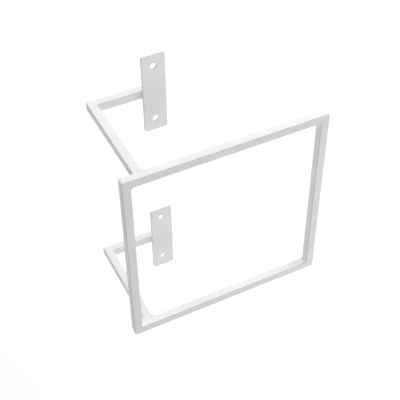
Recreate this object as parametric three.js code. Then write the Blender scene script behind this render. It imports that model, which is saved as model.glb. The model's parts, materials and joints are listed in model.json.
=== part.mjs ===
// A wall hanger welded from square steel bar: one upright square frame stands off the wall on
// two L-shaped arms, and each arm ends behind a flat plate with two screw holes.
//
// Millimetres. +X runs to the right along the wall, +Y points into the wall and +Z up. The origin
// is on the wall, at the middle of the upper arm's back face, on the plates' centre line.
import * as THREE from "three";

// ---- Driving dimensions ----

// Square bar that the frame and both arms are cut from: 8 mm steel and 0.1 mm of coat all round.
const barSize = 8.2;

// Square frame, measured outside, and how far its front face stands from the wall.
const frameWidth = 200;
const frameHeight = 200;
const wallDistance = 114;

// Arms: the side bar sits in from the frame's left edge, and the plates' centre line
// lies further right along the wall.
const armInset = 13.5;
const plateReach = 63.5;

// Flat wall plates, welded to the front of the arms' ends.
const plateWidth = 23.5;
const plateHeight = 84.5;
const plateThickness = 2;
// The plates hang this much lower than the arms, whose middle their screw holes are centred on.
const plateDrop = 0.6;
const plateTopRadius = 1;
const plateBottomRadius = 3;
const screwHoleDiameter = 6.2;
const screwHoleSpacing = 59;
// The arm ends this far short of the plate's right edge.
const armEndMargin = 2;

// Outer corners of the frame as they are ground after welding. The lower left one is ground most.
const frameCornerRadius = {
  topLeft: 2.2,
  topRight: 1.2,
  bottomRight: 2,
  bottomLeft: 3,
};

// Outer corner of each arm's elbow, and the groove along it that its weld fills.
const elbowRadius = 0.8;
const elbowGrooveWidth = 3.5;
const elbowGrooveDepth = 2.8;

// Legs of the fillet welds.
const frameWeldLeg = 1.6;
const armWeldLeg = 3.2;
const lowerLeftWeldLeg = 4.5;
const plateWeldLeg = 2.5;
// The plate welds stop this far short of the plate's left edge and of the arm's end.
const plateWeldMargin = 1.5;
// How hollow a fillet weld's face is: 0.5 is flat and 0 reaches into the corner.
const weldHollow = 0.22;

// How finely round stretches are divided.
const cornerSegments = 4;
const plateSegments = 12;

// ---- Places worked out from the sizes ----

const armLeft = -plateReach;
const frameLeft = armLeft - armInset;
const frameBack = barSize - wallDistance;
const armFront = -barSize;
const armEnd = plateWidth / 2 - armEndMargin;
const armHalfHeight = barSize / 2;
const armSpacing = frameHeight - barSize;
const frameBottom = armHalfHeight - frameHeight;

// ---- Finish: white powder coat over everything ----

function powderCoat(name, colour, roughness) {
  const coat = new THREE.MeshStandardMaterial({ color: colour, roughness, metalness: 0 });
  coat.name = name;
  return coat;
}

const barCoat = powderCoat("bar_coat", 0xf1f1ef, 0.5);
const plateCoat = powderCoat("plate_coat", 0xf0f0ee, 0.52);
const weldCoat = powderCoat("weld_coat", 0xefefec, 0.58);

// ---- Helpers ----

function namedMesh(name, geometry, coat) {
  const mesh = new THREE.Mesh(geometry, coat);
  mesh.name = name;
  return mesh;
}

function polygon(corners) {
  return new THREE.Shape(corners.map(([across, along]) => new THREE.Vector2(across, along)));
}

function prism(outline, length, curveSegments = cornerSegments) {
  return new THREE.ExtrudeGeometry(outline, { depth: length, bevelEnabled: false, curveSegments });
}

// An outline drawn in X and Z, extruded along Y from back to front.
function prismFacingFront(outline, back, length, curveSegments) {
  const solid = prism(outline, length, curveSegments);
  solid.rotateX(Math.PI / 2);
  solid.translate(0, back, 0);
  return solid;
}

// An outline drawn in X and Y, extruded upwards from a height.
function prismStanding(outline, bottom, height) {
  const solid = prism(outline, height);
  solid.translate(0, 0, bottom);
  return solid;
}

// A fillet weld's section in the corner at the origin, with its legs along +X and +Y.
function filletSection(leg) {
  const section = new THREE.Shape();
  section.moveTo(0, 0);
  section.lineTo(leg, 0);
  section.quadraticCurveTo(leg * weldHollow, leg * weldHollow, 0, leg);
  section.closePath();
  return section;
}

// ---- Square frame ----

// One side of the frame, drawn along +X with its outer face on y = 0 and its inner face on
// y = barSize. Both ends are mitred, and each outer corner keeps its half of the ground arc.
function frameSideOutline(length, startRadius, endRadius) {
  const down = -Math.PI / 2;
  const eighth = Math.PI / 4;
  const side = new THREE.Shape();
  side.absarc(startRadius, startRadius, startRadius, down - eighth, down, false);
  side.absarc(length - endRadius, endRadius, endRadius, down, down + eighth, false);
  side.lineTo(length - barSize, barSize);
  side.lineTo(barSize, barSize);
  return side;
}

// Each side turns a further quarter about the frame and starts at the next outer corner,
// going anticlockwise as seen from the front.
function makeFrame() {
  const corners = [
    { at: "bottom_left", radius: frameCornerRadius.bottomLeft, x: 0, z: 0 },
    { at: "bottom_right", radius: frameCornerRadius.bottomRight, x: frameWidth, z: 0 },
    { at: "top_right", radius: frameCornerRadius.topRight, x: frameWidth, z: frameHeight },
    { at: "top_left", radius: frameCornerRadius.topLeft, x: 0, z: frameHeight },
  ];
  const sides = [
    { name: "frame_bottom_bar", length: frameWidth },
    { name: "frame_right_upright", length: frameHeight },
    { name: "frame_top_bar", length: frameWidth },
    { name: "frame_left_upright", length: frameHeight },
  ];
  const frame = new THREE.Group();
  frame.position.set(frameLeft, frameBack, frameBottom);
  sides.forEach(({ name, length }, index) => {
    const start = corners[index];
    const end = corners[(index + 1) % corners.length];
    const turn = (index * Math.PI) / 2;

    const bar = prism(frameSideOutline(length, start.radius, end.radius), barSize);
    bar.rotateZ(turn);
    bar.rotateX(Math.PI / 2);
    bar.translate(start.x, 0, start.z);
    frame.add(namedMesh(name, bar, barCoat));

    // The weld starts from the inner corner, one bar further in along both sides.
    const weld = prism(filletSection(frameWeldLeg), barSize);
    weld.translate(barSize, barSize, 0);
    weld.rotateZ(turn);
    weld.rotateX(Math.PI / 2);
    weld.translate(start.x, 0, start.z);
    frame.add(namedMesh(`frame_weld_${start.at}`, weld, weldCoat));
  });
  return frame;
}

// ---- Arms ----

// The arm's two bars meet in a mitre. The groove along its outer edge is filled by the elbow weld.
const elbowGroove = [armLeft + elbowGrooveDepth, -elbowGrooveDepth];
const elbowInside = [armLeft + barSize, armFront];

function sideBar() {
  const outline = polygon([
    [armLeft, frameBack],
    [armLeft + barSize, frameBack],
    elbowInside,
    elbowGroove,
    [armLeft, -elbowGrooveWidth],
  ]);
  return prismStanding(outline, -armHalfHeight, barSize);
}

function wallBar() {
  const outline = polygon([
    elbowInside,
    [armEnd, armFront],
    [armEnd, 0],
    [armLeft + elbowGrooveWidth, 0],
    elbowGroove,
  ]);
  return prismStanding(outline, -armHalfHeight, barSize);
}

function elbowWeld() {
  const section = new THREE.Shape();
  section.moveTo(...elbowGroove);
  section.lineTo(armLeft + elbowGrooveWidth, 0);
  section.absarc(armLeft + elbowRadius, -elbowRadius, elbowRadius, Math.PI / 2, Math.PI, false);
  section.lineTo(armLeft, -elbowGrooveWidth);
  section.closePath();
  return prismStanding(section, -armHalfHeight, barSize);
}

// Upright fillet in the corner between the frame's back and the side bar's right face.
function armWeld() {
  const weld = prism(filletSection(armWeldLeg), barSize);
  weld.translate(armLeft + barSize, frameBack, -armHalfHeight);
  return weld;
}

// The same on the side bar's left face, which only the lower arm has.
function lowerLeftWeld() {
  const weld = prism(filletSection(lowerLeftWeldLeg), barSize);
  weld.rotateZ(Math.PI / 2);
  weld.translate(armLeft, frameBack, -armHalfHeight);
  return weld;
}

// ---- Wall plates ----

function plateOutline() {
  const quarter = Math.PI / 2;
  const corners = [
    { x: 1, z: -1, radius: plateBottomRadius },
    { x: 1, z: 1, radius: plateTopRadius },
    { x: -1, z: 1, radius: plateTopRadius },
    { x: -1, z: -1, radius: plateBottomRadius },
  ];
  const outline = new THREE.Shape();
  corners.forEach(({ x, z, radius }, index) => {
    const start = (index - 1) * quarter;
    const centreX = x * (plateWidth / 2 - radius);
    const centreZ = z * (plateHeight / 2 - radius) - plateDrop;
    outline.absarc(centreX, centreZ, radius, start, start + quarter, false);
  });
  return outline;
}

function screwHole(height) {
  const hole = new THREE.Path();
  hole.absarc(0, height, screwHoleDiameter / 2, 0, 2 * Math.PI, true);
  return hole;
}

function wallPlate() {
  const outline = plateOutline();
  outline.holes = [screwHole(screwHoleSpacing / 2), screwHole(-screwHoleSpacing / 2)];
  return prismFacingFront(outline, armFront, plateThickness, plateSegments);
}

// Fillets behind the plate, along the top and the bottom of the arm.
function plateWeld(side) {
  const start = -plateWidth / 2 + plateWeldMargin;
  const length = armEnd - plateWeldMargin - start;
  const weld = prism(filletSection(plateWeldLeg), length);
  // The section's legs turn to lie along +Y and up, then the lower weld turns over.
  weld.rotateX(Math.PI / 2);
  weld.rotateZ(Math.PI / 2);
  if (side < 0) weld.rotateX(-Math.PI / 2);
  weld.translate(start, armFront, side * armHalfHeight);
  return weld;
}

// One whole arm, drawn about the middle of its back face on the plate's centre line.
function makeArm(level, height) {
  const arm = new THREE.Group();
  arm.position.z = height;
  arm.add(
    namedMesh(`${level}_side_bar`, sideBar(), barCoat),
    namedMesh(`${level}_wall_bar`, wallBar(), barCoat),
    namedMesh(`${level}_elbow_weld`, elbowWeld(), weldCoat),
    namedMesh(`${level}_arm_weld`, armWeld(), weldCoat),
    namedMesh(`${level}_wall_plate`, wallPlate(), plateCoat),
    namedMesh(`${level}_plate_weld_above`, plateWeld(1), weldCoat),
    namedMesh(`${level}_plate_weld_below`, plateWeld(-1), weldCoat),
  );
  return arm;
}

// ---- The whole hanger ----

const lowerArm = makeArm("lower", -armSpacing);
lowerArm.add(namedMesh("lower_arm_weld_left", lowerLeftWeld(), weldCoat));

const group = new THREE.Group();
group.name = "wall_frame_hanger";
group.add(makeFrame(), makeArm("upper", 0), lowerArm);

export default group;
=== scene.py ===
# %% [markdown]
# # A wall frame hanger in white powder coat
#
# The object is a small welded steel hanger: a square frame of thin square bar, held off the wall by
# two L-shaped arms that end behind drilled plates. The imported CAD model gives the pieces' places.
# This lesson builds a finer painted piece for each CAD solid, with rounded edges, dressed corners
# and real weld beads, and then gives the pieces their paint, the light and the camera.

# %% Load the frame
import json
import math

import bmesh
import bpy
from mathutils import Matrix, Vector

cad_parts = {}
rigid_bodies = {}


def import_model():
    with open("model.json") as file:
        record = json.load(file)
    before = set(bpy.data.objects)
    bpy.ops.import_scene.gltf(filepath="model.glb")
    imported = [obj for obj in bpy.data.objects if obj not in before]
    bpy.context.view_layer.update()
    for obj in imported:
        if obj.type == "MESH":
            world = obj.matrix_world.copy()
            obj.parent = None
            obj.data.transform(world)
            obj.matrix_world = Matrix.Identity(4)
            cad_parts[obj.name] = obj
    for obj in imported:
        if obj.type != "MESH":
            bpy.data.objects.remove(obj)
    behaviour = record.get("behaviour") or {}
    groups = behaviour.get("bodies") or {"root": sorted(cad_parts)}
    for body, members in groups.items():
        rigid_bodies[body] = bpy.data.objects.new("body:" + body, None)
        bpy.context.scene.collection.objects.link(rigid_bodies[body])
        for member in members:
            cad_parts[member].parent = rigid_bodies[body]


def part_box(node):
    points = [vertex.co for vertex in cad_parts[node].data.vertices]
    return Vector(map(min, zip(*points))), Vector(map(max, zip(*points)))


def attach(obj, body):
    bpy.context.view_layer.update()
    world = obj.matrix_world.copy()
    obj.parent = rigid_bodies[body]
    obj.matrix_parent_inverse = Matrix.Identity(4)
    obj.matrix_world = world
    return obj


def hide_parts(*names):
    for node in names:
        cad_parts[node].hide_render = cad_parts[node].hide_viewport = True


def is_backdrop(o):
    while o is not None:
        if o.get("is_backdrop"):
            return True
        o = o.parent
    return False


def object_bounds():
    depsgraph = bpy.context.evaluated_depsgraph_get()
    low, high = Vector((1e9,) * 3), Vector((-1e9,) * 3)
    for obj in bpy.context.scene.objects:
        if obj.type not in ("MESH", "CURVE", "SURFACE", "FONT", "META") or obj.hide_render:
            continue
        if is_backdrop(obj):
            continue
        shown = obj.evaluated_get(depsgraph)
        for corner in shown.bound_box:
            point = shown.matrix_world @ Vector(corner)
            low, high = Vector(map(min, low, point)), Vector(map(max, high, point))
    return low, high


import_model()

cad_low, cad_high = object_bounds()
MM = 0.001
print("CAD box in mm:", [round(side / MM, 1) for side in cad_high - cad_low])

# %% [markdown]
# ## Sizes from the frame
#
# A piece that replaces a CAD solid has to fill the same place, so its sizes are read from the CAD
# boxes and not typed again. Only what a box can't tell is typed. Here that is how far the edges of
# drawn bar and cut plate are rounded under the paint, and how the frame's corners were ground. The
# elbows, the plates' corners and holes and the beads have theirs further down.

# %% Sizes that the pieces share
frame_low = Vector(
    (
        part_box("frame_left_upright")[0].x,
        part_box("frame_bottom_bar")[0].y,
        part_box("frame_bottom_bar")[0].z,
    )
)
frame_high = Vector(
    (
        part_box("frame_right_upright")[1].x,
        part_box("frame_top_bar")[1].y,
        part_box("frame_top_bar")[1].z,
    )
)
bar = frame_high.y - frame_low.y
frame_weld_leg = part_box("frame_weld_top_left")[1].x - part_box("frame_weld_top_left")[0].x

BAR_EDGE_RADIUS = 0.6 * MM
PLATE_EDGE_RADIUS = 0.4 * MM
HOLE_EDGE_RADIUS = 0.2 * MM
EDGE_SEGMENTS = 4
CORNER_SEGMENTS = 12
# Points closer together than this count as one place.
SAME_PLACE = 0.01 * MM
CORNER_RADIUS = {
    "top_left": 2.2 * MM,
    "top_right": 1.2 * MM,
    "bottom_right": 2 * MM,
    "bottom_left": 3 * MM,
}
print("bar", round(bar / MM, 2), "mm, frame", [round(s / MM, 1) for s in frame_high - frame_low])

# %% [markdown]
# ## Cutting and rounding
#
# A few small tools do most of the work. One rounds a corner, as grinding does, and one only
# breaks sharp edges and notes where it did, because the coat is painted grey there, for thinner
# paint and for painted shade on the rounding. One cuts a mesh with a plane, drops one side and
# closes the cut, like a saw. One lists the edges where a flat side meets the sides around it,
# because those are the edges that get broken, and one finds the edge at a corner.

# %% Helpers for solid steel
SAW_SNAP = 0.0001 * MM
# The cosine of the widest angle at which an edge still counts as running along an axis.
ALONG_AXIS = 0.99


def new_solid():
    """An empty solid whose points tell where the coat is greyed for thinner paint and painted edge
    shade.
    """
    solid = bmesh.new()
    solid.verts.layers.float.new("thin_coat_and_edge_shade")
    return solid


def round_off(solid, edges, radius, segments):
    """Rounds edges of the solid with an arc of that radius and returns the arc's faces."""
    rounded = bmesh.ops.bevel(
        solid,
        geom=edges,
        offset=radius,
        offset_type="OFFSET",
        segments=segments,
        profile=0.5,
        affect="EDGES",
        material=-1,
    )
    return rounded["faces"]


def break_edges(solid, edges, radius):
    """Rounds sharp edges slightly and marks the points in the middle of the rounding."""
    arc = set(round_off(solid, edges, radius, EDGE_SEGMENTS))
    # The marked points are painted grey, for a thinner coat and for painted shade on the rounding.
    edge_grey = solid.verts.layers.float["thin_coat_and_edge_shade"]
    for vert in solid.verts:
        if vert.link_faces and arc.issuperset(vert.link_faces):
            vert[edge_grey] = 1.0


def saw(solid, point, away):
    """Cuts the solid through a point, drops the side that away points to, and closes the cut."""
    everything = solid.verts[:] + solid.edges[:] + solid.faces[:]
    cut = bmesh.ops.bisect_plane(
        solid,
        geom=everything,
        dist=SAW_SNAP,
        plane_co=point,
        plane_no=away,
        clear_outer=True,
    )
    rim = [part for part in cut["geom_cut"] if isinstance(part, bmesh.types.BMEdge)]
    bmesh.ops.edgeloop_fill(solid, edges=rim)
    for edge in rim:
        edge.smooth = False


def outline_edges(solid, axis):
    """The edges between the faces square to an axis (0, 1 or 2) and the faces along it."""
    # A face square to the axis has a slope of 1 and a face along it has a slope of 0.
    found = []
    for edge in solid.edges:
        slopes = sorted(abs(face.normal[axis]) for face in edge.link_faces)
        if slopes[0] < 0.5 < slopes[-1]:
            found.append(edge)
    return found


def corner_edge(solid, axis, place):
    """The edge that runs along an axis nearest to a place."""
    def gap(edge):
        middle = (edge.verts[0].co + edge.verts[1].co) / 2
        return (middle - place).length

    along = [
        edge
        for edge in solid.edges
        if abs((edge.verts[0].co - edge.verts[1].co).normalized()[axis]) > ALONG_AXIS
    ]
    return min(along, key=gap)


print("edges are rounded in", EDGE_SEGMENTS, "steps, corners in", CORNER_SEGMENTS)

# %% [markdown]
# ## The paint
#
# Powder coat is sprayed dry and melted in an oven. It flows out almost flat but keeps a soft
# orange-peel ripple a millimetre or two across, with a much finer grain on top, and it pulls back
# from sharp edges. Those edges are painted grey, for the thinner coat and for painted shade on the
# rounding. An image could show that, but noise in the node tree needs no file and runs unbroken
# over every piece, because it reads object coordinates. The grey edges come from a point
# attribute, which is 1 in the middle of a broken edge and 0 on the flats.


# %% Helpers for node trees
def add_noise(nodes, links, place, scale, detail, roughness=0.5):
    """A noise pattern with that many waves per metre."""
    noise = nodes.new("ShaderNodeTexNoise")
    noise.inputs["Scale"].default_value = scale
    noise.inputs["Detail"].default_value = detail
    noise.inputs["Roughness"].default_value = roughness
    links.new(place, noise.inputs["Vector"])
    return noise.outputs["Fac"]


def add_range(nodes, links, value, low, high, new_low, new_high):
    """Stretches a value from one range to another."""
    stretch = nodes.new("ShaderNodeMapRange")
    stretch.inputs["From Min"].default_value = low
    stretch.inputs["From Max"].default_value = high
    stretch.inputs["To Min"].default_value = new_low
    stretch.inputs["To Max"].default_value = new_high
    links.new(value, stretch.inputs["Value"])
    return stretch.outputs["Result"]


def add_mix(nodes, links, share, first, second):
    """Blends two colours; each is a plain colour or another node's output."""
    mix = nodes.new("ShaderNodeMix")
    mix.data_type = "RGBA"
    links.new(share, mix.inputs[0])
    for socket, colour in ((mix.inputs[6], first), (mix.inputs[7], second)):
        if isinstance(colour, tuple):
            socket.default_value = (*colour, 1)
        else:
            links.new(colour, socket)
    return mix.outputs[2]


def add_bump(nodes, links, height, depth, below=None):
    """A bump of that depth in metres, on top of another bump where one is given."""
    bump = nodes.new("ShaderNodeBump")
    bump.inputs["Strength"].default_value = 1
    bump.inputs["Distance"].default_value = depth
    links.new(height, bump.inputs["Height"])
    if below is not None:
        links.new(below, bump.inputs["Normal"])
    return bump.outputs["Normal"]


# %% [markdown]
# The coat's colour wanders slowly between two close whites, with small flecks of the darker one,
# and with patchy grey on broken edges for a thinner coat and painted shade on the rounding. Slow
# smudges change its gloss. Its relief is the orange peel with the grain on top. Waves are counted
# per metre.

# %% The powder coat
CLOUD_WAVES = 22
FLECK_WAVES = 1500
EDGE_GREY_WAVES = 170
SMUDGE_WAVES = 85
PEEL_WAVES = 480
GRAIN_WAVES = 3200
# The stretch of each noise over which its effect grows from none to full.
CLOUD_STRETCH = (0.3, 0.7)
FLECK_STRETCH = (0.62, 0.8)
EDGE_GREY_STRETCH = (0.35, 0.65)
SMUDGE_STRETCH = (0.3, 0.7)
FLECK_MOST = 0.35
EDGE_GREY_LEAST = 0.65
GRAIN_DEPTH = 0.006 * MM
# Grey on broken edges: a thinner coat there, and painted shade on the rounding.
THIN_COAT_AND_EDGE_SHADE = (0.56, 0.56, 0.57)


def powder_coat(name, light, dark, peel_depth, gloss):
    """White powder coat between two close whites; gloss is its range of roughness."""
    coat = bpy.data.materials.new(name)
    coat.use_nodes = True
    nodes = coat.node_tree.nodes
    links = coat.node_tree.links
    shader = nodes["Principled BSDF"]
    shader.inputs["Metallic"].default_value = 0
    shader.inputs["IOR"].default_value = 1.5
    shader.inputs["Specular IOR Level"].default_value = 0.5

    place = nodes.new("ShaderNodeTexCoord").outputs["Object"]
    cloud = add_noise(nodes, links, place, CLOUD_WAVES, detail=3)
    cloud_share = add_range(nodes, links, cloud, *CLOUD_STRETCH, 0, 1)
    clouded = add_mix(nodes, links, cloud_share, light, dark)

    fleck = add_noise(nodes, links, place, FLECK_WAVES, detail=2, roughness=0.7)
    fleck_share = add_range(nodes, links, fleck, *FLECK_STRETCH, 0, FLECK_MOST)
    flecked = add_mix(nodes, links, fleck_share, clouded, dark)

    # Broken edges are painted grey, for a thinner coat and painted shade, in patches set by noise.
    edge = nodes.new("ShaderNodeAttribute")
    edge.attribute_name = "thin_coat_and_edge_shade"
    edge_grey_noise = add_noise(nodes, links, place, EDGE_GREY_WAVES, detail=4, roughness=0.6)
    edge_grey_share = add_range(nodes, links, edge_grey_noise, *EDGE_GREY_STRETCH, EDGE_GREY_LEAST, 1)
    edge_grey = nodes.new("ShaderNodeMath")
    edge_grey.operation = "MULTIPLY"
    links.new(edge.outputs["Fac"], edge_grey.inputs[0])
    links.new(edge_grey_share, edge_grey.inputs[1])
    painted = add_mix(nodes, links, edge_grey.outputs[0], flecked, THIN_COAT_AND_EDGE_SHADE)
    links.new(painted, shader.inputs["Base Color"])

    smudge = add_noise(nodes, links, place, SMUDGE_WAVES, detail=4, roughness=0.6)
    roughness = add_range(nodes, links, smudge, *SMUDGE_STRETCH, *gloss)
    links.new(roughness, shader.inputs["Roughness"])

    peel = add_noise(nodes, links, place, PEEL_WAVES, detail=1.5)
    grain = add_noise(nodes, links, place, GRAIN_WAVES, detail=2)
    peeled = add_bump(nodes, links, peel, peel_depth)
    grained = add_bump(nodes, links, grain, GRAIN_DEPTH, peeled)
    links.new(grained, shader.inputs["Normal"])
    return coat


bar_coat = powder_coat(
    "bar_powder_coat", (0.86, 0.86, 0.86), (0.82, 0.82, 0.822), 0.03 * MM, (0.42, 0.56)
)
plate_coat = powder_coat(
    "plate_powder_coat", (0.86, 0.86, 0.858), (0.815, 0.815, 0.815), 0.035 * MM, (0.45, 0.6)
)
weld_coat = powder_coat(
    "weld_powder_coat", (0.85, 0.85, 0.848), (0.79, 0.79, 0.79), 0.06 * MM, (0.45, 0.62)
)
print("coats:", bar_coat.name, plate_coat.name, weld_coat.name)

# %% [markdown]
# ## Finishing a piece
#
# Every piece ends the same way. Its rounded faces are shaded smooth, with normals weighted by
# face area so that the wide flat sides stay flat. Then the piece takes its paint, rides on the
# one body of the hanger and stands for its CAD solid.

# %% Finish a piece
# The modifier's highest setting, where the widest face alone decides a point's shading.
WIDE_FACE_WEIGHT = 100


def finish_piece(solid, node, coat):
    """Makes the painted object for a CAD node."""
    for face in solid.faces:
        face.smooth = True
    mesh = bpy.data.meshes.new("painted_" + node)
    solid.to_mesh(mesh)
    solid.free()
    piece = bpy.data.objects.new("painted_" + node, mesh)
    bpy.context.scene.collection.objects.link(piece)
    mesh.materials.append(coat)
    even = piece.modifiers.new("even_shading", "WEIGHTED_NORMAL")
    even.keep_sharp = True
    even.weight = WIDE_FACE_WEIGHT
    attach(piece, "root")
    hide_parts(node)


# %% [markdown]
# ## The square frame
#
# The real frame is four lengths of bar, mitred, welded and ground until it looks like one ring.
# Four separate bars would have to be made to match at every mitre. It is easier to work as the
# welder's finished part suggests: make the whole ring, round its corners and edges, and then saw
# it along the four mitres. Each bar then fits its neighbours exactly.


# %% One ring, rounded
def make_ring():
    """The whole square frame as one solid, its outer corners and its long edges rounded."""
    size = frame_high - frame_low
    centre = (frame_low + frame_high) / 2
    ring = new_solid()
    bmesh.ops.create_grid(ring, x_segments=1, y_segments=1, size=0.5)
    bmesh.ops.scale(ring, vec=(size.x, size.z, 1), verts=ring.verts[:])
    stand_up = Matrix.Rotation(math.pi / 2, 3, "X")
    bmesh.ops.rotate(ring, matrix=stand_up, verts=ring.verts[:])
    bmesh.ops.translate(ring, vec=(centre.x, frame_low.y, centre.z), verts=ring.verts[:])

    window = ring.faces[:][0]
    bmesh.ops.inset_region(
        ring, faces=[window], thickness=bar, use_boundary=True, use_even_offset=True
    )
    bmesh.ops.delete(ring, geom=[window], context="FACES_ONLY")

    # The inset leaves a seam across each corner. Seams across the bars' middles are better,
    # because then nothing but the corner itself is rounded.
    corner_seams = [edge for edge in ring.edges if len(edge.link_faces) == 2]
    for middle in (Vector((1, 0, 0)), Vector((0, 0, 1))):
        everything = ring.verts[:] + ring.edges[:] + ring.faces[:]
        bmesh.ops.bisect_plane(ring, geom=everything, plane_co=centre, plane_no=middle)
    bmesh.ops.dissolve_edges(ring, edges=corner_seams, use_verts=False)

    pulled = bmesh.ops.extrude_face_region(ring, geom=ring.faces[:])
    back = [part for part in pulled["geom"] if isinstance(part, bmesh.types.BMVert)]
    bmesh.ops.translate(ring, vec=(0, bar, 0), verts=back)
    bmesh.ops.recalc_face_normals(ring, faces=ring.faces[:])

    for where, radius in CORNER_RADIUS.items():
        vertical, sideways = where.split("_")
        corner = Vector(
            (
                frame_low.x if sideways == "left" else frame_high.x,
                centre.y,
                frame_low.z if vertical == "bottom" else frame_high.z,
            )
        )
        round_off(ring, [corner_edge(ring, 1, corner)], radius, CORNER_SEGMENTS)
    ring.normal_update()
    break_edges(ring, outline_edges(ring, 1), BAR_EDGE_RADIUS)
    return ring


ring = make_ring()
print("ring:", len(ring.faces), "faces, closed:", all(e.is_manifold for e in ring.edges))

# %% [markdown]
# ## Sawing the ring into four bars
#
# A mitre runs from a corner of the ring to its inner corner. Each bar is the ring with everything
# beyond its two mitres sawn off. The cut rims are kept sharp, so that the shading on both sides
# of a mitre agrees and the joint all but disappears, as it does under real paint.

# %% The four bars
left, right = frame_low.x, frame_high.x
bottom, top = frame_low.z, frame_high.z
middle_y = (frame_low.y + frame_high.y) / 2
corner_at = {
    "bottom_left": Vector((left, middle_y, bottom)),
    "bottom_right": Vector((right, middle_y, bottom)),
    "top_left": Vector((left, middle_y, top)),
    "top_right": Vector((right, middle_y, top)),
}
MITRES = {
    # bar: the corner that each mitre starts from, and the way to the side it drops
    "frame_top_bar": (("top_left", (-1, 0, -1)), ("top_right", (1, 0, -1))),
    "frame_bottom_bar": (("bottom_left", (-1, 0, 1)), ("bottom_right", (1, 0, 1))),
    "frame_left_upright": (("bottom_left", (1, 0, -1)), ("top_left", (1, 0, 1))),
    "frame_right_upright": (("bottom_right", (-1, 0, -1)), ("top_right", (-1, 0, 1))),
}

for node, mitres in MITRES.items():
    piece = ring.copy()
    for corner, away in mitres:
        saw(piece, corner_at[corner], Vector(away))
    finish_piece(piece, node, bar_coat)
ring.free()

# %% [markdown]
# ## The arms
#
# Each arm is two bars mitred at the elbow, with a groove along the outer edge that the weld
# fills. As with the frame, the whole L is made and rounded first, and then sawn into the side
# bar, the wall bar and the wedge of weld metal between them.

# %% One arm as a whole L
ELBOW_RADIUS = 0.8 * MM


def make_elbow(level):
    """The whole L of one arm, its elbow dressed and its long edges rounded."""
    side_low, side_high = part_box(level + "_side_bar")
    wall_low, wall_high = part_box(level + "_wall_bar")
    outline = (
        (side_low.x, side_low.y),
        (side_high.x, side_low.y),
        (side_high.x, wall_low.y),
        (wall_high.x, wall_low.y),
        (wall_high.x, wall_high.y),
        (side_low.x, wall_high.y),
    )
    elbow = new_solid()
    corners = [elbow.verts.new((x, y, side_low.z)) for x, y in outline]
    elbow.faces.new(corners)
    pulled = bmesh.ops.extrude_face_region(elbow, geom=elbow.faces[:])
    upper = [part for part in pulled["geom"] if isinstance(part, bmesh.types.BMVert)]
    bmesh.ops.translate(elbow, vec=(0, 0, side_high.z - side_low.z), verts=upper)
    bmesh.ops.recalc_face_normals(elbow, faces=elbow.faces[:])

    middle_z = (side_low.z + side_high.z) / 2
    outer = Vector((side_low.x, wall_high.y, middle_z))
    round_off(elbow, [corner_edge(elbow, 2, outer)], ELBOW_RADIUS, CORNER_SEGMENTS)
    elbow.normal_update()
    long_edges = [
        edge
        for edge in outline_edges(elbow, 2)
        if any(vert.co.y > side_low.y + SAME_PLACE for vert in edge.verts)
    ]
    end_edges = [
        edge
        for edge in elbow.edges
        if all(vert.co.x > wall_high.x - SAME_PLACE for vert in edge.verts)
    ]
    break_edges(elbow, list({*long_edges, *end_edges}), BAR_EDGE_RADIUS)
    return elbow


print("elbow radius", round(ELBOW_RADIUS / MM, 2), "mm")

# %% [markdown]
# The groove is a V as wide as the elbow weld's box. Its bottom lies on the mitre, four fifths of
# that width in from both outer faces. Its two sides are the planes that part the weld from the
# bars.

# %% Saw both arms
GROOVE_SHARE = 0.8


def make_arm(level):
    """The side bar, the wall bar and the elbow weld of one arm."""
    side_low, side_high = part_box(level + "_side_bar")
    wall_low, wall_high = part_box(level + "_wall_bar")
    weld_low, weld_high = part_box(level + "_elbow_weld")
    width = weld_high.x - weld_low.x
    depth = GROOVE_SHARE * width
    rise = width - depth
    inside = Vector((side_high.x, wall_low.y, side_low.z))
    side_start = Vector((side_low.x, wall_high.y - width, side_low.z))
    wall_start = Vector((side_low.x + width, wall_high.y, side_low.z))
    beyond_side = Vector((-rise, depth, 0))
    beyond_wall = Vector((-depth, rise, 0))
    towards_wall = Vector((1, 1, 0))

    elbow = make_elbow(level)
    side_bar = elbow.copy()
    saw(side_bar, inside, towards_wall)
    saw(side_bar, side_start, beyond_side)
    finish_piece(side_bar, level + "_side_bar", bar_coat)

    wall_bar = elbow.copy()
    saw(wall_bar, inside, -towards_wall)
    saw(wall_bar, wall_start, beyond_wall)
    finish_piece(wall_bar, level + "_wall_bar", bar_coat)

    saw(elbow, side_start, -beyond_side)
    saw(elbow, wall_start, -beyond_wall)
    finish_piece(elbow, level + "_elbow_weld", weld_coat)


for level in ("upper", "lower"):
    make_arm(level)

# %% [markdown]
# ## The wall plates
#
# A plate is cut from flat strip and drilled for two screws. A boolean could cut the holes, but
# filling the flat outline with the hole circles already in it gives a cleaner mesh. The filled
# face is pulled to the plate's thickness, and then every rim is rounded. A drilled hole is only
# deburred, so its rims are sharper than the plate's outside.

# %% A drilled plate
SCREW_HOLE_RADIUS = 3.1 * MM
SCREW_HOLE_SPACING = 59 * MM
HOLE_SEGMENTS = 48
PLATE_TOP_RADIUS = 1 * MM
PLATE_BOTTOM_RADIUS = 3 * MM


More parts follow.
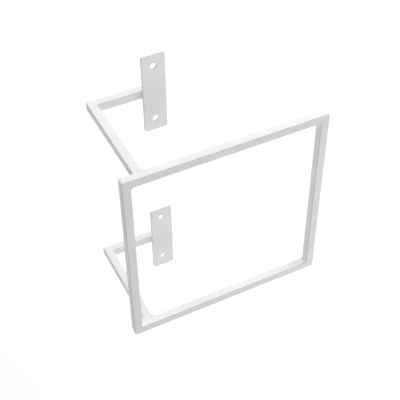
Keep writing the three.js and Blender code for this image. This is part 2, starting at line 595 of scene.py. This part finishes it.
def make_plate(level):
    """One drilled plate, facing the room."""
    low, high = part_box(level + "_wall_plate")
    arm_low, arm_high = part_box(level + "_wall_bar")
    width, thickness, height = high - low
    centre = (low + high) / 2
    arm_rise = (arm_low.z + arm_high.z) / 2 - centre.z
    stand_up = Matrix.Rotation(math.pi / 2, 4, "X")
    plate = new_solid()
    bmesh.ops.create_grid(plate, x_segments=1, y_segments=1, size=0.5)
    bmesh.ops.scale(plate, vec=(width, height, 1), verts=plate.verts[:])
    for radius, side in ((PLATE_TOP_RADIUS, 1), (PLATE_BOTTOM_RADIUS, -1)):
        corners = [
            vert
            for vert in plate.verts
            if abs(abs(vert.co.x) - width / 2) < SAME_PLACE
            and abs(vert.co.y * side - height / 2) < SAME_PLACE
        ]
        bmesh.ops.bevel(
            plate,
            geom=corners,
            offset=radius,
            segments=CORNER_SEGMENTS,
            profile=0.5,
            affect="VERTICES",
            material=-1,
        )
    bmesh.ops.delete(plate, geom=plate.faces[:], context="FACES_ONLY")
    for side in (1, -1):
        hole_place = Matrix.Translation((0, arm_rise + side * SCREW_HOLE_SPACING / 2, 0))
        bmesh.ops.create_circle(
            plate, segments=HOLE_SEGMENTS, radius=SCREW_HOLE_RADIUS, matrix=hole_place
        )
    bmesh.ops.triangle_fill(plate, use_beauty=True, edges=plate.edges[:], normal=(0, 0, 1))
    place = Matrix.Translation((centre.x, low.y, centre.z)) @ stand_up
    bmesh.ops.transform(plate, matrix=place, verts=plate.verts[:])

    pulled = bmesh.ops.extrude_face_region(plate, geom=plate.faces[:])
    back = [part for part in pulled["geom"] if isinstance(part, bmesh.types.BMVert)]
    bmesh.ops.translate(plate, vec=(0, thickness, 0), verts=back)
    bmesh.ops.recalc_face_normals(plate, faces=plate.faces[:])
    rims = outline_edges(plate, 1)
    hole_reach = SCREW_HOLE_RADIUS + SAME_PLACE
    hole_rims = [
        edge
        for edge in rims
        if all(abs(vert.co.x - centre.x) < hole_reach for vert in edge.verts)
    ]
    outside_rims = [edge for edge in rims if edge not in hole_rims]
    break_edges(plate, outside_rims, PLATE_EDGE_RADIUS)
    break_edges(plate, hole_rims, HOLE_EDGE_RADIUS)
    print(level, "plate closed:", all(edge.is_manifold for edge in plate.edges))
    finish_piece(plate, level + "_wall_plate", plate_coat)


for level in ("upper", "lower"):
    make_plate(level)

# %% [markdown]
# ## The weld beads
#
# A fillet weld is a run of metal laid into a corner. Its section is a slightly hollow triangle,
# and the arc leaves fine ripples across it where each drop froze onto the last. The bead is
# made by pulling its section along the run in many short steps, and then swelling each step a
# little with a wave. The crown of a ripple trails behind its ends, so the wave is bowed.

# %% A rippled fillet bead
# How hollow the section is: 0.5 is flat and 0 reaches into the corner.
WELD_HOLLOW = 0.22
ARC_STEPS = 10
RIPPLE_PITCH = 1.1 * MM
RIPPLE_SWELL = 0.05
# How many ripples the crown trails behind the ends.
RIPPLE_BOW = 1.4
BEAD_STEP = 0.18 * MM
BEAD_LEAST_STEPS = 8
# A bead tapers over this length at each end, down to this share of its size.
BEAD_END = 0.5 * MM
BEAD_END_SHARE = 0.35
# The bead reaches this far into the steel on both sides of its corner.
BEAD_SINK = 0.12 * MM


def fillet_section(leg):
    """Points of a hollow fillet with its corner at the origin and its legs along +X and +Y."""
    points = []
    for step in range(ARC_STEPS + 1):
        share = step / ARC_STEPS
        corner_pull = 2 * share * (1 - share) * WELD_HOLLOW
        points.append((leg * ((1 - share) ** 2 + corner_pull), leg * (share**2 + corner_pull)))
    return points


def make_bead(node, leg, length, placing, ripple=RIPPLE_SWELL, ground=False):
    """A bead whose section is pulled along +Z and placed in a corner; ground ends stay flat."""
    bead = new_solid()
    outline = [(-BEAD_SINK, -BEAD_SINK), (leg, -BEAD_SINK)]
    outline += fillet_section(leg)
    outline.append((-BEAD_SINK, leg))
    start = bead.faces.new([bead.verts.new((x, y, 0)) for x, y in outline])
    steps = max(BEAD_LEAST_STEPS, round(length / BEAD_STEP))
    bmesh.ops.spin(
        bead,
        geom=bead.verts[:] + bead.edges[:] + [start],
        cent=(0, 0, 0),
        axis=(0, 0, 1),
        dvec=(0, 0, length / steps),
        angle=0,
        steps=steps,
        use_duplicate=False,
    )
    for vert in bead.verts:
        x, y, run = vert.co
        crown = min(max(x, 0), max(y, 0)) / leg
        wave = math.cos(2 * math.pi * (run / RIPPLE_PITCH - RIPPLE_BOW * crown))
        swell = 1 + ripple * wave
        from_end = min(run, length - run) / BEAD_END
        if from_end < 1 and not ground:
            roundness = math.sqrt(max(0, 1 - (1 - from_end) ** 2))
            swell *= BEAD_END_SHARE + (1 - BEAD_END_SHARE) * roundness
        if x > 0:
            vert.co.x = x * swell
        if y > 0:
            vert.co.y = y * swell
    bmesh.ops.transform(bead, matrix=placing, verts=bead.verts[:])
    bmesh.ops.recalc_face_normals(bead, faces=bead.faces[:])
    for edge in bead.edges:
        if any(len(face.verts) > 4 for face in edge.link_faces):
            edge.smooth = False
    finish_piece(bead, node, weld_coat)


def axes_at(origin, across, up, along):
    """The placing that turns X, Y and Z to three directions at an origin."""
    turn = Matrix((across, up, along)).transposed().to_4x4()
    return Matrix.Translation(origin) @ turn


print("a bead's ripples are", round(RIPPLE_PITCH / MM, 2), "mm apart")

# %% [markdown]
# The frame's four beads are only a millimetre or two wide and were ground flush with the front
# and the back, so they ripple less.

# %% Frame corner beads
FRAME_BEAD_SWELL = 0.03
# A ground bead ends this far inside the faces it is flush with.
BEAD_INSET = 0.05 * MM

for where, place in corner_at.items():
    vertical, sideways = where.split("_")
    inwards_x = 1 if sideways == "left" else -1
    inwards_z = 1 if vertical == "bottom" else -1
    inner_corner = Vector(
        (place.x + inwards_x * bar, frame_low.y + BEAD_INSET, place.z + inwards_z * bar)
    )
    placing = axes_at(inner_corner, (inwards_x, 0, 0), (0, 0, inwards_z), (0, 1, 0))
    make_bead(
        "frame_weld_" + where,
        frame_weld_leg,
        bar - 2 * BEAD_INSET,
        placing,
        ripple=FRAME_BEAD_SWELL,
        ground=True,
    )
print("frame beads made, legs", round(frame_weld_leg / MM, 2), "mm")

# %% [markdown]
# The beads between an arm and the frame stand upright in the corners, and are ground flush with
# their tops. Each arm has one on its right, and the lower arm a bigger one on its left as well.
# Behind each plate, one bead runs along the top of the wall bar and one along its underside.

# %% Arm and plate beads
ARM_BEAD_SWELL = 0.02


def make_arm_bead(node, sideways):
    """The upright bead on the right (1) or on the left (-1) of a side bar."""
    low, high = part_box(node)
    foot = Vector((low.x if sideways > 0 else high.x, low.y, low.z + BEAD_INSET))
    upright = axes_at(foot, (sideways, 0, 0), (0, 1, 0), (0, 0, 1))
    make_bead(
        node,
        high.x - low.x,
        high.z - low.z - 2 * BEAD_INSET,
        upright,
        ripple=ARM_BEAD_SWELL,
        ground=True,
    )


make_arm_bead("upper_arm_weld", 1)
make_arm_bead("lower_arm_weld", 1)
make_arm_bead("lower_arm_weld_left", -1)
for level in ("upper", "lower"):
    for name, side in (("above", 1), ("below", -1)):
        node = level + "_plate_weld_" + name
        low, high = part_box(node)
        start = Vector((low.x, low.y, low.z if side > 0 else high.z))
        lying = axes_at(start, (0, 1, 0), (0, 0, side), (1, 0, 0))
        make_bead(node, high.y - low.y, high.x - low.x, lying)
painted = [o for o in bpy.data.objects if o.name.startswith("painted_")]
print("painted pieces:", len(painted))

# %% [markdown]
# ## Floor, light and camera
#
# The hanger belongs on a wall, but a wall would hide its back, so it hangs free over a wide pale
# floor. The light is soft and comes mostly from above and from behind, which leaves the top faces
# nearly white, the faces towards the room light grey and the left faces a shade darker.

# %% The floor
FLOOR_DROP = 0.45
FLOOR_REACH = 2.6
COVE_RADIUS = 1.4
COVE_STEPS = 16
ROUND_STEPS = 96
FLOOR_WAVES = 3
FLOOR_ROUGHNESS = 0.9
FLOOR_SHINE = 0.1
FLOOR_LIGHT = (0.975, 0.975, 0.975)
FLOOR_DARK = (0.965, 0.965, 0.965)


def floor_paint():
    """Matt pale paint, a little cloudy where the roller passed twice."""
    paint = bpy.data.materials.new("floor_paint")
    paint.use_nodes = True
    nodes = paint.node_tree.nodes
    links = paint.node_tree.links
    shader = nodes["Principled BSDF"]
    shader.inputs["Roughness"].default_value = FLOOR_ROUGHNESS
    shader.inputs["Specular IOR Level"].default_value = FLOOR_SHINE
    place = nodes.new("ShaderNodeTexCoord").outputs["Object"]
    cloud = add_noise(nodes, links, place, FLOOR_WAVES, detail=2)
    colour = add_mix(nodes, links, cloud, FLOOR_LIGHT, FLOOR_DARK)
    links.new(colour, shader.inputs["Base Color"])
    return paint


def make_floor():
    """A round floor whose edge sweeps up into a low wall, so that no horizon shows."""
    sweep = bmesh.new()
    rim = sweep.verts.new((FLOOR_REACH, 0, 0))
    centre = sweep.verts.new((0, 0, 0))
    sweep.edges.new((centre, rim))
    bmesh.ops.spin(
        sweep,
        geom=[rim],
        cent=(FLOOR_REACH, 0, COVE_RADIUS),
        axis=(0, -1, 0),
        angle=math.pi / 2,
        steps=COVE_STEPS,
        use_duplicate=False,
    )
    bmesh.ops.spin(
        sweep,
        geom=sweep.verts[:] + sweep.edges[:],
        cent=(0, 0, 0),
        axis=(0, 0, 1),
        angle=2 * math.pi,
        steps=ROUND_STEPS,
        use_merge=True,
        use_duplicate=False,
    )
    bmesh.ops.remove_doubles(sweep, verts=sweep.verts[:], dist=SAME_PLACE)
    bmesh.ops.recalc_face_normals(sweep, faces=sweep.faces[:])
    drop = Vector((0, 0, cad_low.z - FLOOR_DROP))
    bmesh.ops.translate(sweep, vec=drop, verts=sweep.verts[:])
    for face in sweep.faces:
        face.smooth = True
    mesh = bpy.data.meshes.new("pale_floor")
    sweep.to_mesh(mesh)
    sweep.free()
    floor = bpy.data.objects.new("pale_floor", mesh)
    bpy.context.scene.collection.objects.link(floor)
    mesh.materials.append(floor_paint())
    floor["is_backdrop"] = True
    print("floor normals up:", mesh.polygons[0].normal.z > 0, "faces", len(mesh.polygons))


make_floor()

# %% [markdown]
# Eight square softboxes stand around the hanger, all aimed at the middle of the frame: two
# overhead, two behind, one at the front left and three at the right. A very faint even sky fills
# the rest.

# %% The lights
LOOK_AT = (frame_low + frame_high) / 2
SOFT_LIGHTS = (
    # name, azimuth, elevation, distance, size, watts
    ("overhead_wide", 0, 90, 2.8, 3.0, 48),
    ("overhead", 0, 90, 1.2, 0.6, 4.6),
    ("behind", 180, 8, 2.3, 1.0, 22.5),
    ("behind_right", 135, 8, 2.3, 1.0, 16),
    ("front_left", -45, 8, 2.3, 1.0, 9.4),
    ("right", 90, 20, 0.8, 0.5, 4),
    ("front_right", 60, 0, 0.8, 0.4, 1.4),
    ("low_right", 75, -12, 0.9, 0.4, 0.7),
)
SKY_STRENGTH = 0.02


def soft_light(name, azimuth, elevation, distance, size, watts):
    """A square softbox; azimuth 0 is the room side and 90 the right, in degrees."""
    turn, lift = math.radians(azimuth), math.radians(elevation)
    away = Vector(
        (
            math.sin(turn) * math.cos(lift),
            -math.cos(turn) * math.cos(lift),
            math.sin(lift),
        )
    )
    lamp = bpy.data.lights.new(name, "AREA")
    lamp.energy = watts
    lamp.size = size
    holder = bpy.data.objects.new(name, lamp)
    bpy.context.scene.collection.objects.link(holder)
    holder.location = LOOK_AT + away * distance
    holder.rotation_euler = (-away).to_track_quat("-Z", "Y").to_euler()


for light in SOFT_LIGHTS:
    soft_light(*light)

sky = bpy.data.worlds.new("soft_sky")
bpy.context.scene.world = sky
sky.use_nodes = True
backdrop = sky.node_tree.nodes["Background"]
backdrop.inputs["Color"].default_value = (1, 1, 1, 1)
backdrop.inputs["Strength"].default_value = SKY_STRENGTH
bpy.context.scene.view_settings.view_transform = "Standard"
print("softboxes:", len(SOFT_LIGHTS), "watts:", round(sum(light[-1] for light in SOFT_LIGHTS), 1))

# %% [markdown]
# The camera looks down on the hanger from the front left with a long lens. Its place is given
# from the frame's lower left front corner, and it leans a little to the right.

# %% The camera
CAMERA_FROM_CORNER = Vector((-177.11, -503.48, 696.52)) * MM
CAMERA_TURN = math.radians(26.233)
CAMERA_DIP = math.radians(44.176)
CAMERA_LEAN = math.radians(0.605)
LENS = 80.55
SENSOR_WIDTH = 36

forward = Vector(
    (
        math.sin(CAMERA_TURN) * math.cos(CAMERA_DIP),
        math.cos(CAMERA_TURN) * math.cos(CAMERA_DIP),
        -math.sin(CAMERA_DIP),
    )
)
camera = bpy.data.objects.new("camera", bpy.data.cameras.new("camera"))
bpy.context.scene.collection.objects.link(camera)
camera.data.lens = LENS
camera.data.sensor_width = SENSOR_WIDTH
camera.location = frame_low + CAMERA_FROM_CORNER
level_view = forward.to_track_quat("-Z", "Y").to_matrix()
camera.rotation_euler = (level_view @ Matrix.Rotation(-CAMERA_LEAN, 3, "Z")).to_euler()
bpy.context.scene.camera = camera
print("camera is", round(CAMERA_FROM_CORNER.length / MM), "mm from the frame's corner")

# %% [markdown]
# ## Measure the size
#
# The painted pieces must not outgrow the CAD model, so their box is printed like the CAD box at the
# start.

# %% Measure and finish
low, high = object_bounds()
print("painted box in mm:", [round(side / MM, 1) for side in high - low])
